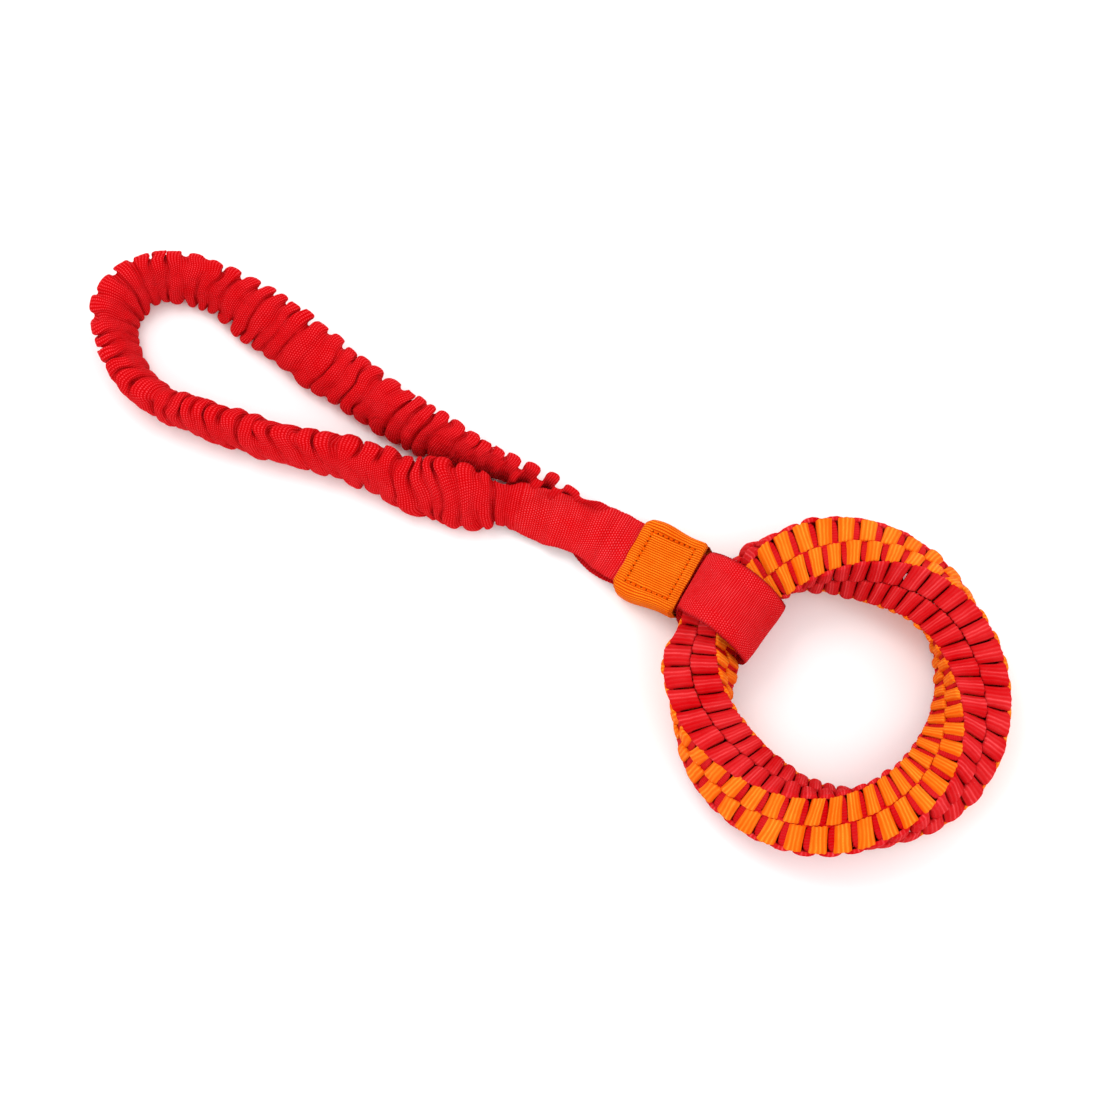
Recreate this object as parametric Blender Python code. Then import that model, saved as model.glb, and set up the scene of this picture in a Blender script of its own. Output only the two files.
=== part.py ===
"""Bungee tug toy for dog training: a box-stitch braided ring of orange and red
webbing, held in a red webbing sling, an orange box-stitched keeper, and a hand
loop of gathered tubular webbing with an elastic core.

Frame: metres, +Z up, the toy lying on a surface at z = 0.  +X runs along the
keeper from the hand loop towards the ring.  The origin is the middle of the
footprint.  Lengths below are in millimetres and are scaled once, in put().
"""

import math

import bmesh
import bpy
import numpy as np
from mathutils import Matrix, Vector

MM = 0.001

# ---------------------------------------------------------------- dimensions
# Shift from the ring's centre, where everything is laid out, to the origin.
ORIGIN_SHIFT = (143.75, -0.02, 0.0)

# Ring: a square braid of two 12 mm webbings, bent round and twisted once.
RING_R = 56.4  # middle of the bar
LAYERS = 86  # box-stitch layers round the ring
LAYER_PITCH = 2 * math.pi * RING_R / LAYERS
RIB_OUT = 11.8  # fold of a ribbon, from the bar's middle to mid thickness
RIB_SIDE = 11.05  # outer selvage of a ribbon
RIB_IN = 0.75  # inner selvage of a ribbon
RIB_T = 1.0  # webbing thickness in the braid
RIB_D = 0.65  # half the step between the webbing above and the one below
RIB_RAMP = 0.35  # half the run of that step
FACE_AT_SLING = math.radians(130.0)  # orange face's normal at the sling

# Sling: where it grips the ring and how the bar is squeezed there.
SLING_AZ = math.radians(173.0)
SLING_W = 30.0
SLING_T = 1.5
WAIST = 0.805
WAIST_FLAT = 16.8  # half length of the squeezed stretch along the bar
WAIST_END = 25.5
SLING_Z = 19.2  # bar's middle at the sling
FAR_Z = 16.75  # bar's middle at the far side

# Keeper: orange webbing wrapped round the strap ends and box-stitched.
KEEPER_C = (-87.8, 11.4, 9.2)
KEEPER_TILT = math.radians(16.0)
KEEPER_L = 30.2
KEEPER_W = 35.0
KEEPER_H = 10.2
KEEPER_T = 1.1
KEEPER_R = 2.9  # corner
BOX_L = 20.7  # box stitch
BOX_W = 24.7
GROOVE_W = 1.5
GROOVE_D = 0.6
THREAD_W = 0.8
THREAD_T = 0.4

# Tubular webbing of the hand loop.
LEAD_T = 2.0
LEAD_IN_KEEPER_W = 28.4
FOLD_PITCH = 9.0
VALLEY = 0.87
SLEEVE_SIDES = 10
HOLLOW = 0.70
CORE_R = 3.5
CORE_SIDES = 8

# Hand loop's middle line: x, y, width seen from above, height.
BACK_LEG = [
    (-147.5, 19.0, 19.0, 12.0),
    (-160.0, 17.6, 20.5, 13.0),
    (-178.0, 16.8, 21.5, 13.5),
    (-198.0, 16.6, 22.0, 14.0),
    (-219.0, 17.0, 23.0, 14.0),
    (-240.0, 18.6, 24.5, 14.0),
    (-262.0, 21.6, 24.5, 14.5),
    (-284.0, 24.6, 24.0, 15.0),
    (-300.0, 26.8, 21.5, 16.0),
]
BEND = [
    (-300.0, 26.8, 21.5, 16.0),
    (-316.0, 28.2, 19.0, 18.0),
    (-332.0, 26.4, 19.5, 18.5),
    (-344.5, 18.5, 18.5, 19.0),
    (-351.0, 6.5, 18.0, 19.0),
    (-349.5, -5.5, 18.5, 19.0),
    (-341.0, -16.5, 18.0, 19.5),
    (-328.0, -24.5, 18.0, 20.0),
    (-313.0, -27.5, 16.5, 21.0),
    (-299.0, -27.2, 16.0, 21.5),
]
FRONT_LEG = [
    (-299.0, -27.2, 16.0, 21.5),
    (-285.0, -25.0, 16.7, 22.0),
    (-267.0, -21.4, 16.6, 22.0),
    (-249.0, -16.8, 17.2, 22.0),
    (-232.0, -12.6, 18.5, 21.0),
    (-214.0, -10.3, 20.5, 20.0),
    (-195.0, -8.3, 20.0, 19.5),
    (-179.0, -5.4, 18.5, 18.5),
    (-164.5, 0.4, 17.0, 17.0),
]
# Flat leads: x, y, z, width, roll in degrees (far edge up).
LEAD_FRONT = [
    (-164.0, 0.6, 9.6, 19.0, 40.0),
    (-154.0, 4.8, 11.0, 22.0, 40.0),
    (-145.0, 7.2, 10.8, 23.5, 32.0),
    (-136.0, 8.6, 10.0, 25.0, 22.0),
    (-127.0, 9.8, 8.8, 26.5, 12.0),
    (-118.0, 10.6, 7.4, 28.0, 4.0),
    (-110.0, 11.0, 6.6, 28.4, 0.0),
]
LEAD_BACK = [
    (-145.0, 18.6, 5.4, 18.0, 0.0),
    (-138.0, 17.2, 3.8, 23.0, 0.0),
    (-129.0, 15.2, 2.1, 26.5, 0.0),
    (-120.0, 13.4, 1.4, 28.4, 0.0),
    (-110.0, 12.0, 1.3, 28.4, 0.0),
    (-105.0, 11.4, 1.5, 28.4, 0.0),
]

# Sling's middle line round the bar: angle in degrees from the ring's centre
# side, counted upwards, and distance from the bar's middle.
SLING_ROUND = [
    (181, 17.2), (165, 17.2), (150, 17.4), (135, 17.8), (120, 18.1), (105, 18.5),
    (92, 18.7), (78, 18.6), (62, 18.4), (45, 18.3), (30, 18.5), (16, 19.4),
    (5, 20.2), (-5, 20.2), (-16, 19.4), (-30, 18.5), (-45, 18.2), (-62, 18.3),
    (-78, 18.5), (-90, 18.4), (-105, 18.5), (-120, 18.2), (-135, 17.9), (-149, 17.9),
]

# Joints.
SWING_AT = (RING_R * math.cos(SLING_AZ), RING_R * math.sin(SLING_AZ), SLING_Z)
FOLD_AT = (-130.0, 11.0, 6.5)


# ------------------------------------------------------------------ materials
def material(name, colour, roughness):
    m = bpy.data.materials.new(name)
    m.use_nodes = True
    b = m.node_tree.nodes["Principled BSDF"]
    b.inputs["Base Color"].default_value = (*colour, 1.0)
    b.inputs["Roughness"].default_value = roughness
    b.inputs["Metallic"].default_value = 0.0
    return m


# -------------------------------------------------------------------- helpers
def put(name, verts, faces, mat, body):
    """One closed body from points in millimetres, its origin on its joint's axis."""
    at = Vector(body["at"])
    shift = Vector(ORIGIN_SHIFT)
    mesh = bpy.data.meshes.new(name)
    mesh.from_pydata([(Vector(v) + shift) * MM - at for v in verts], [], faces)
    bm = bmesh.new()
    bm.from_mesh(mesh)
    bmesh.ops.recalc_face_normals(bm, faces=bm.faces)
    bmesh.ops.triangulate(bm, faces=[f for f in bm.faces if len(f.verts) > 3])
    bm.to_mesh(mesh)
    bm.free()
    mesh.materials.append(mat)
    ob = bpy.data.objects.new(name, mesh)
    bpy.context.scene.collection.objects.link(ob)
    ob.parent = body
    return ob


def pivot(name, at):
    e = bpy.data.objects.new(name, None)
    e.location = (Vector(at) + Vector(ORIGIN_SHIFT)) * MM
    e["at"] = e.location
    e.empty_display_size = 0.02
    bpy.context.scene.collection.objects.link(e)
    return e


def smooth(points, spacing):
    """Even points along a centripetal-like spline through the given rows."""
    P = np.array(points, float)
    E = np.vstack([2 * P[0] - P[1], P, 2 * P[-1] - P[-2]])
    fine = []
    for i in range(1, len(E) - 2):
        p0, p1, p2, p3 = E[i - 1 : i + 3]
        for t in np.linspace(0, 1, 24, endpoint=False):
            fine.append(
                0.5
                * (
                    2 * p1
                    + (p2 - p0) * t
                    + (2 * p0 - 5 * p1 + 4 * p2 - p3) * t**2
                    + (3 * p1 - p0 - 3 * p2 + p3) * t**3
                )
            )
    fine.append(E[-2])
    F = np.array(fine)
    s = np.concatenate([[0], np.cumsum(np.linalg.norm(np.diff(F[:, :2], axis=0), axis=1))])
    n = max(2, round(s[-1] / spacing))
    even = np.linspace(0, s[-1], n + 1)
    return np.stack([np.interp(even, s, F[:, k]) for k in range(F.shape[1])], 1)


def ring_faces(rows, sides, offset=0, flip=False):
    out = []
    for i in range(rows - 1):
        for k in range(sides):
            a = offset + i * sides + k
            b = offset + i * sides + (k + 1) % sides
            c, d = b + sides, a + sides
            out.append((a, d, c, b) if flip else (a, b, c, d))
    return out


def across(P):
    """Unit vectors level and square to a path's heading, pointing to its left."""
    T = np.gradient(P[:, :2], axis=0)
    T /= np.linalg.norm(T, axis=1)[:, None]
    return np.stack([-T[:, 1], T[:, 0]], 1)


def strip(rows, thickness):
    """Solid flat strap along rows of x, y, z, width, roll; four corners a row."""
    P = np.array(rows, float)
    side = across(P)
    T = np.gradient(P[:, :3], axis=0)
    T /= np.linalg.norm(T, axis=1)[:, None]
    verts = []
    for i in range(len(P)):
        roll = math.radians(P[i, 4])
        far = side[i] if side[i][1] > 0 else -side[i]
        lat = Vector((far[0] * math.cos(roll), far[1] * math.cos(roll), math.sin(roll)))
        t = Vector(T[i])
        lat = (lat - t * lat.dot(t)).normalized()
        nor = t.cross(lat).normalized()
        if nor.z < 0:
            nor = -nor
        c = Vector(P[i, :3])
        w, h = P[i, 3] / 2, thickness / 2
        verts += [c + lat * w + nor * h, c - lat * w + nor * h, c - lat * w - nor * h, c + lat * w - nor * h]
    n = len(P)
    faces = ring_faces(n, 4) + [(3, 2, 1, 0), tuple(4 * (n - 1) + k for k in range(4))]
    return verts, faces


def sleeve(rows):
    """Open-ended gathered tube: ribbed outside, smooth hollow inside."""
    P = smooth(rows, FOLD_PITCH / 2)
    if len(P) % 2 == 0:
        P = smooth(rows, np.linalg.norm(np.diff(P[:, :2], axis=0), axis=1).sum() / len(P))
    side = across(P)
    n = len(P)
    angles = [2 * math.pi * k / SLEEVE_SIDES for k in range(SLEEVE_SIDES)]

    def section(i, scale, out):
        x, y, w, h = P[i]
        z = h / 2 + 0.1
        for a in angles:
            ca, sa = math.cos(a), math.sin(a)
            u = math.copysign(abs(ca) ** 0.8, ca) * w / 2 * scale
            v = math.copysign(abs(sa) ** 0.8, sa) * h / 2 * scale
            out.append(Vector((x + side[i][0] * u, y + side[i][1] * u, z + v)))

    verts = []
    for i in range(n):
        section(i, VALLEY if i % 2 == 0 else 1.0, verts)
    inner = sorted({*range(0, n, 3), n - 1})
    start = len(verts)
    for i in inner:
        section(i, HOLLOW, verts)
    m = SLEEVE_SIDES
    faces = ring_faces(n, m) + ring_faces(len(inner), m, start, flip=True)
    last_out, last_in = (n - 1) * m, start + (len(inner) - 1) * m
    for k in range(m):
        j = (k + 1) % m
        faces.append((k, start + k, start + j, j))
        faces.append((last_out + k, last_out + j, last_in + j, last_in + k))
    return verts, faces


def core(rows):
    """Elastic cord down the middle of the sleeve."""
    P = smooth(rows, 9.0)
    side = across(P)
    verts = []
    for i in range(len(P)):
        x, y, _, h = P[i]
        for k in range(CORE_SIDES):
            a = 2 * math.pi * (k + 0.5) / CORE_SIDES
            u, v = CORE_R * math.cos(a), CORE_R * math.sin(a)
            verts.append(Vector((x + side[i][0] * u, y + side[i][1] * u, h / 2 + 0.1 + v)))
    n = len(P)
    faces = ring_faces(n, CORE_SIDES)
    faces.append(tuple(reversed(range(CORE_SIDES))))
    faces.append(tuple((n - 1) * CORE_SIDES + k for k in range(CORE_SIDES)))
    return verts, faces


def trim(rows, start=0.0, end=0.0):
    """Shortens a route at its ends, in x, so that neighbours keep a gap."""
    rows = [list(r) for r in rows]

    def cut(a, b, by):
        d = math.hypot(b[0] - a[0], b[1] - a[1])
        f = by / d
        return [p + (q - p) * f for p, q in zip(a, b)]

    if start:
        rows[0] = cut(rows[0], rows[1], start)
    if end:
        rows[-1] = cut(rows[-1], rows[-2], end)
    return rows


# ----------------------------------------------------------------------- ring
def ring_point(x, y, s):
    """From braid space (across, up, along the bar) to the closed, twisted ring."""
    phi = s / RING_R
    off = abs((phi - SLING_AZ + math.pi) % (2 * math.pi) - math.pi) * RING_R
    f = min(1.0, max(0.0, (off - WAIST_FLAT) / (WAIST_END - WAIST_FLAT)))
    k = WAIST + (1 - WAIST) * f * f * (3 - 2 * f)
    turn = FACE_AT_SLING + (phi - SLING_AZ)
    c, sn = math.cos(turn), math.sin(turn)
    out = k * (x * c - y * sn)
    up = k * (x * sn + y * c)
    p = Vector(((RING_R + out) * math.cos(phi), (RING_R + out) * math.sin(phi), up))
    tilt = math.asin((SLING_Z - FAR_Z) / 2 / RING_R)
    axis = Vector((-math.sin(SLING_AZ), math.cos(SLING_AZ), 0))
    p.rotate(Matrix.Rotation(-tilt, 3, axis))
    return p + Vector((0, 0, (SLING_Z + FAR_Z) / 2))


def braid_strand(across_x, upper):
    """One working end of the box stitch, folded to and fro round the whole ring.

    Each layer crosses the bar once: over the first crossing webbing, under the
    second.  Then it folds over the bar's face and comes back a layer later.
    """
    path = []
    start = -1 if upper else 1
    for n in range(LAYERS):
        g = start if n % 2 == 0 else -start
        s = n * LAYER_PITCH
        path += [
            (g * RIB_OUT, s + RIB_D),
            (g * RIB_RAMP, s + RIB_D),
            (-g * RIB_RAMP, s - RIB_D),
            (-g * RIB_OUT, s - RIB_D),
        ]
    P = np.array(path)
    length = LAYERS * LAYER_PITCH
    prev = np.roll(P, 1, axis=0)
    prev[0, 1] -= length
    nxt = np.roll(P, -1, axis=0)
    nxt[-1, 1] += length
    n1 = np.stack([-(P - prev)[:, 1], (P - prev)[:, 0]], 1)
    n1 /= np.linalg.norm(n1, axis=1)[:, None]
    n2 = np.stack([-(nxt - P)[:, 1], (nxt - P)[:, 0]], 1)
    n2 /= np.linalg.norm(n2, axis=1)[:, None]
    mitre = n1 + n2
    mitre /= np.linalg.norm(mitre, axis=1)[:, None]
    off = mitre * (RIB_T / 2 / np.maximum((mitre * n1).sum(1), 0.3))[:, None]
    left = upper == across_x
    lat = (RIB_IN, RIB_SIDE) if left else (-RIB_SIDE, -RIB_IN)
    verts = []
    for p, o in zip(P, off):
        for q, l in ((p + o, lat[0]), (p + o, lat[1]), (p - o, lat[1]), (p - o, lat[0])):
            verts.append(ring_point(q[0], l, q[1]) if across_x else ring_point(l, q[0], q[1]))
    n = len(P)
    faces = []
    for i in range(n):
        j = (i + 1) % n
        for k in range(4):
            m = (k + 1) % 4
            faces.append((4 * i + k, 4 * i + m, 4 * j + m, 4 * j + k))
    return verts, faces


# --------------------------------------------------------------------- keeper
def keeper_place(p):
    """From the keeper's own axes (along the strap, across, up) to the layout."""
    c, s = math.cos(KEEPER_TILT), math.sin(KEEPER_TILT)
    x, y, z = p
    return Vector((KEEPER_C[0] + x * c - z * s, KEEPER_C[1] + y, KEEPER_C[2] + x * s + z * c))


def rounded(w, h, r, steps=3):
    """Rectangular outline in y and z with round corners."""
    pts = []
    for quarter in range(4):
        cy = (w / 2 - r) * (1 if quarter in (0, 3) else -1)
        cz = (h / 2 - r) * (1 if quarter in (0, 1) else -1)
        for k in range(steps + 1):
            a = math.pi / 2 * (quarter + k / steps)
            pts.append((cy + r * math.cos(a), cz + r * math.sin(a)))
    return pts


def keeper_wrap():
    outer = rounded(KEEPER_W, KEEPER_H, KEEPER_R)
    inner = rounded(KEEPER_W - 2 * KEEPER_T, KEEPER_H - 2 * KEEPER_T, KEEPER_R - KEEPER_T)
    m = len(outer)
    verts = []
    for x in (-KEEPER_L / 2, KEEPER_L / 2):
        verts += [keeper_place((x, y, z)) for y, z in outer]
        verts += [keeper_place((x, y, z)) for y, z in inner]
    faces = []
    for k in range(m):
        j = (k + 1) % m
        faces.append((k, j, 2 * m + j, 2 * m + k))
        faces.append((m + k, 3 * m + k, 3 * m + j, m + j))
        faces.append((k, m + k, m + j, j))
        faces.append((2 * m + k, 2 * m + j, 3 * m + j, 3 * m + k))
    return verts, faces


def box_frame(length, width, bar, low, high):
    """Rectangular frame, such as a run of box stitching or its groove."""
    verts = []
    for z in (low, high):
        for e in (bar / 2, -bar / 2):
            for sx, sy in ((1, 1), (-1, 1), (-1, -1), (1, -1)):
                verts.append(keeper_place((sx * (length / 2 + e), sy * (width / 2 + e), z)))
    faces = []
    for k in range(4):
        j = (k + 1) % 4
        faces += [(k, j, 8 + j, 8 + k), (4 + k, 12 + k, 12 + j, 4 + j), (k, 4 + k, 4 + j, j), (8 + k, 8 + j, 12 + j, 12 + k)]
    return verts, faces


def strap_y(x):
    """Sideways place of the strap's middle: radial at the ring, then square to the keeper."""
    straight = math.tan(SLING_AZ) * x
    f = min(1.0, max(0.0, (-66.0 - x) / 12.0))
    f = f * f * (3 - 2 * f)
    return straight * (1 - f) + 11.2 * f


def strap_width(x):
    f = min(1.0, max(0.0, (-66.0 - x) / 7.0))
    return SLING_W * (1 - f) + LEAD_IN_KEEPER_W * f


def sling():
    """One webbing that leaves the keeper, goes round the bar and comes back."""
    lay = (SLING_T + 0.2) / 2
    path = []
    for x in (-13.5, -4.0, 5.0, 12.0, KEEPER_L / 2 + 0.3):
        p = keeper_place((x, 0, lay))
        path.append((p.x, p.z))
    heading = math.cos(SLING_AZ + math.pi)
    for deg, r in SLING_ROUND:
        a = math.radians(deg)
        path.append((SWING_AT[0] + r * math.cos(a) * heading, SLING_Z + r * math.sin(a)))
    for x in (KEEPER_L / 2 + 0.3, 12.0, 5.0, -4.0, -13.5):
        p = keeper_place((x, 0, -lay))
        path.append((p.x, p.z))
    P = np.array(path)
    T = np.gradient(P, axis=0)
    T /= np.linalg.norm(T, axis=1)[:, None]
    N = np.stack([-T[:, 1], T[:, 0]], 1)
    verts = []
    for (x, z), (nx, nz) in zip(P, N):
        y, w = strap_y(x), strap_width(x) / 2
        a, b = SLING_T / 2, -SLING_T / 2
        for o, e in ((a, w), (a, -w), (b, -w), (b, w)):
            verts.append(Vector((x + nx * o - e * math.sin(SLING_AZ + math.pi) * (w > 14.5), y + e, z + nz * o)))
    n = len(P)
    faces = ring_faces(n, 4) + [(3, 2, 1, 0), tuple(4 * (n - 1) + k for k in range(4))]
    return verts, faces


def lead_rows(rows, local_z):
    """A flat lead's loose stretch followed by its stretch inside the keeper."""
    loose = [tuple(r) for r in smooth([(r[0], r[1], r[2], r[3], r[4]) for r in rows], 4.5)]
    inside = []
    for x in (-KEEPER_L / 2 - 1.0, -8.0, 2.0, 13.0):
        p = keeper_place((x, -0.2, local_z))
        inside.append((p.x, p.y, p.z, LEAD_IN_KEEPER_W, 0.0))
    return loose + inside


# ---------------------------------------------------------------------- build
for ob in list(bpy.data.objects):
    bpy.data.objects.remove(ob, do_unlink=True)

RED = material("red_webbing", (0.76, 0.008, 0.022), 0.72)
ORANGE = material("orange_webbing", (1.0, 0.215, 0.004), 0.7)
BRAID_RED = material("red_braid_webbing", (0.70, 0.010, 0.030), 0.7)
THREAD = material("orange_thread", (0.95, 0.19, 0.006), 0.6)
ELASTIC = material("elastic_cord", (0.78, 0.74, 0.66), 0.8)

junction = pivot("junction", KEEPER_C)
ring = pivot("ring", SWING_AT)
handle = pivot("handle", FOLD_AT)
grip = pivot("grip", (-300.0, 0.0, 8.0))
grip.parent = handle
grip.location = grip.location - handle.location

# Keeper, with a groove pressed in by its stitching on each face.
wrap = put("keeper_wrap", *keeper_wrap(), ORANGE, junction)
top = KEEPER_H / 2
for side, low, high in (("top", top - GROOVE_D, top + 2.0), ("bottom", -top - 2.0, -top + GROOVE_D)):
    cutter = put("groove_" + side, *box_frame(BOX_L, BOX_W, GROOVE_W, low, high), ORANGE, junction)
    cutter.hide_render = True
    cutter.display_type = "WIRE"
    cut = wrap.modifiers.new("groove_" + side, "BOOLEAN")
    cut.operation = "DIFFERENCE"
    cut.solver = "EXACT"
    cut.object = cutter
floor_of_groove = top - GROOVE_D + 0.1
put("keeper_stitch_top", *box_frame(BOX_L, BOX_W, THREAD_W, floor_of_groove, floor_of_groove + THREAD_T), THREAD, junction)
put("keeper_stitch_bottom", *box_frame(BOX_L, BOX_W, THREAD_W, -floor_of_groove - THREAD_T, -floor_of_groove), THREAD, junction)

# Strap ends and sling in the keeper.
stack = SLING_T + 0.1 + 0.2 + LEAD_T / 2
put("lead_front", *strip(lead_rows(LEAD_FRONT, stack), LEAD_T), RED, junction)
put("lead_back", *strip(lead_rows(LEAD_BACK, -stack), LEAD_T), RED, junction)
put("sling", *sling(), RED, junction)

# Ring: two orange and two red working ends.
put("braid_orange_a", *braid_strand(True, True), ORANGE, ring)
put("braid_orange_b", *braid_strand(True, False), ORANGE, ring)
put("braid_red_a", *braid_strand(False, True), BRAID_RED, ring)
put("braid_red_b", *braid_strand(False, False), BRAID_RED, ring)

# Hand loop: gathered sleeve and its elastic core, in three lengths.
put("sleeve_back_leg", *sleeve(trim(BACK_LEG, start=0.6, end=0.2)), RED, handle)
put("sleeve_front_leg", *sleeve(trim(FRONT_LEG, start=1.0, end=0.6)), RED, handle)
put("elastic_back_leg", *core(trim(BACK_LEG, start=3.0, end=0.2)), ELASTIC, handle)
put("elastic_front_leg", *core(trim(FRONT_LEG, start=1.0, end=3.0)), ELASTIC, handle)
put("sleeve_bend", *sleeve(trim(BEND, start=0.2, end=0.2)), RED, grip)
put("elastic_bend", *core(trim(BEND, start=0.2, end=0.2)), ELASTIC, grip)
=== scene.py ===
import math

import bpy
import numpy as np
from mathutils import Matrix, Vector


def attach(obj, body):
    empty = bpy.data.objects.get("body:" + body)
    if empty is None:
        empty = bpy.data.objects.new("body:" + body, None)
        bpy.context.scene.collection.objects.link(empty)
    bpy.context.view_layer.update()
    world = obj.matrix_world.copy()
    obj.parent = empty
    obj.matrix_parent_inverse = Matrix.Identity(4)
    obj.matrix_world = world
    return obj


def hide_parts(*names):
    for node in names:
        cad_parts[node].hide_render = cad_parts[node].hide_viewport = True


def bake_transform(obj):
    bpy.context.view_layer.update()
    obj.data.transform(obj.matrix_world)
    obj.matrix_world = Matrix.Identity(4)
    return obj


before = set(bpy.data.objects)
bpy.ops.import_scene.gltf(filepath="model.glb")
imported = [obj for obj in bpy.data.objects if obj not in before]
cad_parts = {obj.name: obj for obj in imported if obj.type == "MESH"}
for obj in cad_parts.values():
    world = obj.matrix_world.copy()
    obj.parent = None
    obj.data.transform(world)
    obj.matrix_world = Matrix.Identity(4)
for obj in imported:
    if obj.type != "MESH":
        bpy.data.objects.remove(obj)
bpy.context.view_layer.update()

MM = 0.001
SHIFT = np.array([143.75, -0.02, 0.0])

# ------------------------------------------------------------ layout, from the CAD
RING_R = 56.4
LAYERS = 86
PITCH = 2 * math.pi * RING_R / LAYERS
FACE_AT_SLING = math.radians(130.0)
SLING_AZ = math.radians(173.0)
WAIST, WAIST_FLAT, WAIST_END = 0.805, 16.8, 25.5
SLING_Z, FAR_Z = 19.2, 16.75
KEEPER_C = np.array([-87.8, 11.4, 9.2])
KEEPER_TILT = math.radians(16.0)
KEEPER_L, KEEPER_W, KEEPER_H, KEEPER_T, KEEPER_R = 30.2, 35.0, 10.2, 1.1, 2.9
BOX_L, BOX_W = 20.7, 24.7


# ------------------------------------------------------------------------- noise
def _hash(n):
    n = (np.asarray(n, np.int64) * 2654435761) & 0xFFFFFFFF
    n ^= n >> 15
    n = (n * 2246822519) & 0xFFFFFFFF
    n ^= n >> 13
    n = (n * 3266489917) & 0xFFFFFFFF
    n ^= n >> 16
    return n / 4294967295.0


def rnd(n, seed=0):
    """Steady random number from -1 to 1 for each whole number."""
    return _hash(np.asarray(n) * 7919 + seed * 104729 + 17) * 2 - 1


def noise(p, seed=0):
    """Smooth value noise from -1 to 1 at points p of any dimension up to 3."""
    p = np.asarray(p, float)
    base = np.floor(p).astype(np.int64)
    f = p - base
    f = f * f * f * (f * (f * 6 - 15) + 10)
    d = p.shape[-1]
    primes = (73856093, 19349663, 83492791)
    out = np.zeros(p.shape[:-1])
    for corner in range(2**d):
        w = np.ones(p.shape[:-1])
        key = np.zeros(p.shape[:-1], np.int64) + seed * 6271
        for k in range(d):
            bit = (corner >> k) & 1
            w = w * (f[..., k] if bit else 1 - f[..., k])
            key = key + (base[..., k] + bit) * primes[k]
        out += w * (_hash(key) * 2 - 1)
    return out


# ----------------------------------------------------------------------- helpers
def smoothstep(a, b, x):
    t = np.clip((np.asarray(x, float) - a) / (b - a), 0, 1)
    return t * t * (3 - 2 * t)


def spline(rows, spacing, dims=None):
    """Even rows along a Catmull-Rom curve; length is measured over the first dims columns."""
    P = np.array(rows, float)
    E = np.vstack([2 * P[0] - P[1], P, 2 * P[-1] - P[-2]])
    fine = []
    for i in range(1, len(E) - 2):
        p0, p1, p2, p3 = E[i - 1 : i + 3]
        for t in np.linspace(0, 1, 40, endpoint=False):
            fine.append(0.5 * (2 * p1 + (p2 - p0) * t + (2 * p0 - 5 * p1 + 4 * p2 - p3) * t**2 + (3 * p1 - p0 - 3 * p2 + p3) * t**3))
    fine.append(E[-2])
    F = np.array(fine)
    k = dims or F.shape[1]
    s = np.concatenate([[0], np.cumsum(np.linalg.norm(np.diff(F[:, :k], axis=0), axis=1))])
    if spacing is None:
        return s, F
    even = np.linspace(0, s[-1], max(2, round(s[-1] / spacing)) + 1)
    return np.stack([np.interp(even, s, F[:, c]) for c in range(F.shape[1])], 1)


def grid_mesh(name, G, U, V, mat, Z=None, ends=True, loop_rows=False):
    """Mesh from a grid of points (rows, columns, 3) in mm, closed across its columns.

    U and V are the weave coordinates in mm, one column more than G has, so that
    the pattern doesn't jump back where the section closes.
    """
    n, m, _ = G.shape
    if Z is None:
        Z = np.zeros((n, m + 1))
    rows = n if loop_rows else n - 1
    i = np.arange(rows)[:, None]
    j = np.arange(m)[None, :]
    i2, j2 = (i + 1) % n, (j + 1) % m
    a = (i * m + j + 0 * i).ravel()
    b = (i * m + j2).ravel()
    c = (i2 * m + j2).ravel()
    d = (i2 * m + j).ravel()
    quads = np.stack([a, b, c, d], 1)
    # whatever would reach the floor lies on it
    low = np.minimum(G[..., 2], 0.7)
    G[..., 2] = np.where(G[..., 2] < 0.7, 0.1 + 0.6 * np.exp((low - 0.7) / 0.6), G[..., 2])
    verts = (G.reshape(-1, 3) + SHIFT) * MM
    uvz = np.stack([U, V, Z], -1)
    if loop_rows:
        last = uvz[0].copy()
        last[:, 1] += V[-1, 0] - V[-2, 0] + V[-1, 0] - V[0, 0]
        uvz = np.concatenate([uvz, last[None]])
    corner = np.stack(
        [
            uvz[:rows, :m].reshape(-1, 3),
            uvz[:rows, 1:].reshape(-1, 3),
            uvz[1 : rows + 1, 1:].reshape(-1, 3),
            uvz[1 : rows + 1, :m].reshape(-1, 3),
        ],
        1,
    )
    mesh = bpy.data.meshes.new(name)
    faces = quads.tolist()
    data = [corner.reshape(-1, 3)]
    if ends and not loop_rows:
        faces.append(list(range(m))[::-1])
        data.append(uvz[0, :m][::-1])
        faces.append([(n - 1) * m + k for k in range(m)])
        data.append(uvz[-1, :m])
    mesh.from_pydata(verts.tolist(), [], faces)
    # weave holds U, V and Z; Z is the painted highlight mask of the braid folds' crowns, zero on other parts
    at = mesh.attributes.new("weave", "FLOAT_VECTOR", "CORNER")
    at.data.foreach_set("vector", np.concatenate(data).astype(np.float32).ravel())
    mesh.update()
    # faces point out
    vol = 0.0
    co = verts
    q = quads
    for tri in ((0, 1, 2), (0, 2, 3)):
        A, B, C = co[q[:, tri[0]]], co[q[:, tri[1]]], co[q[:, tri[2]]]
        vol += np.einsum("ij,ij->i", A - co.mean(0), np.cross(B - co.mean(0), C - co.mean(0))).sum()
    if vol < 0:
        mesh.flip_normals()
    mesh.polygons.foreach_set("use_smooth", [True] * len(mesh.polygons))
    mesh.materials.append(mat)
    ob = bpy.data.objects.new(name, mesh)
    bpy.context.scene.collection.objects.link(ob)
    return ob


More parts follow.
